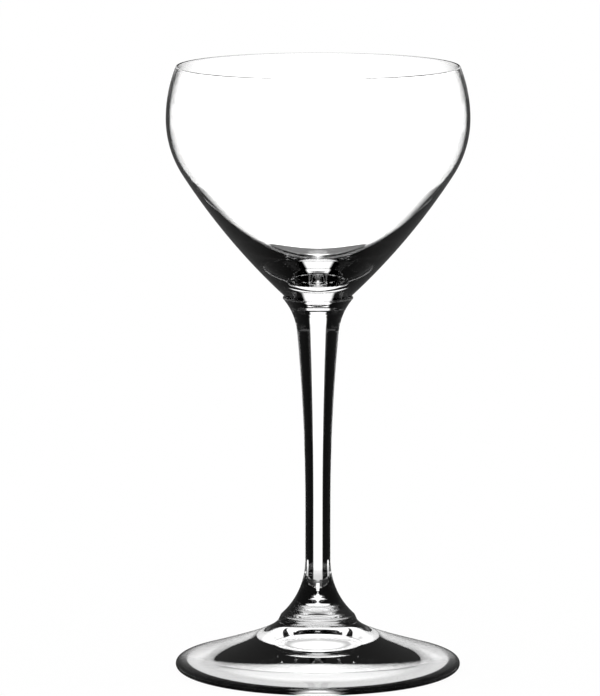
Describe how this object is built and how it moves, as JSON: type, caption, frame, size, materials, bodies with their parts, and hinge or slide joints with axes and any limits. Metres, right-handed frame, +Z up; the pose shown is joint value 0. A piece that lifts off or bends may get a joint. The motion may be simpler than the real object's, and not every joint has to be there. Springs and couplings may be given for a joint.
{
  "type": "nick and nora glass",
  "caption": "Stemmed cocktail glass: a small rounded bowl that narrows to a heavy base, on a slim tapered stem with a conical foot, all in clear glass.",
  "frame": {"origin": "centre of the foot's resting ring, on the surface that the glass stands on", "axes": "+Z up along the glass's axis; X and Y are level and alike, because the glass is round"},
  "size_m": [0.0746, 0.0746, 0.15],
  "materials": {
    "clear_glass": "polished, colourless"
  },
  "bodies": {
    "root": {"bowl": "clear_glass", "stem": "clear_glass", "foot": "clear_glass"}
  },
  "joints": []
}
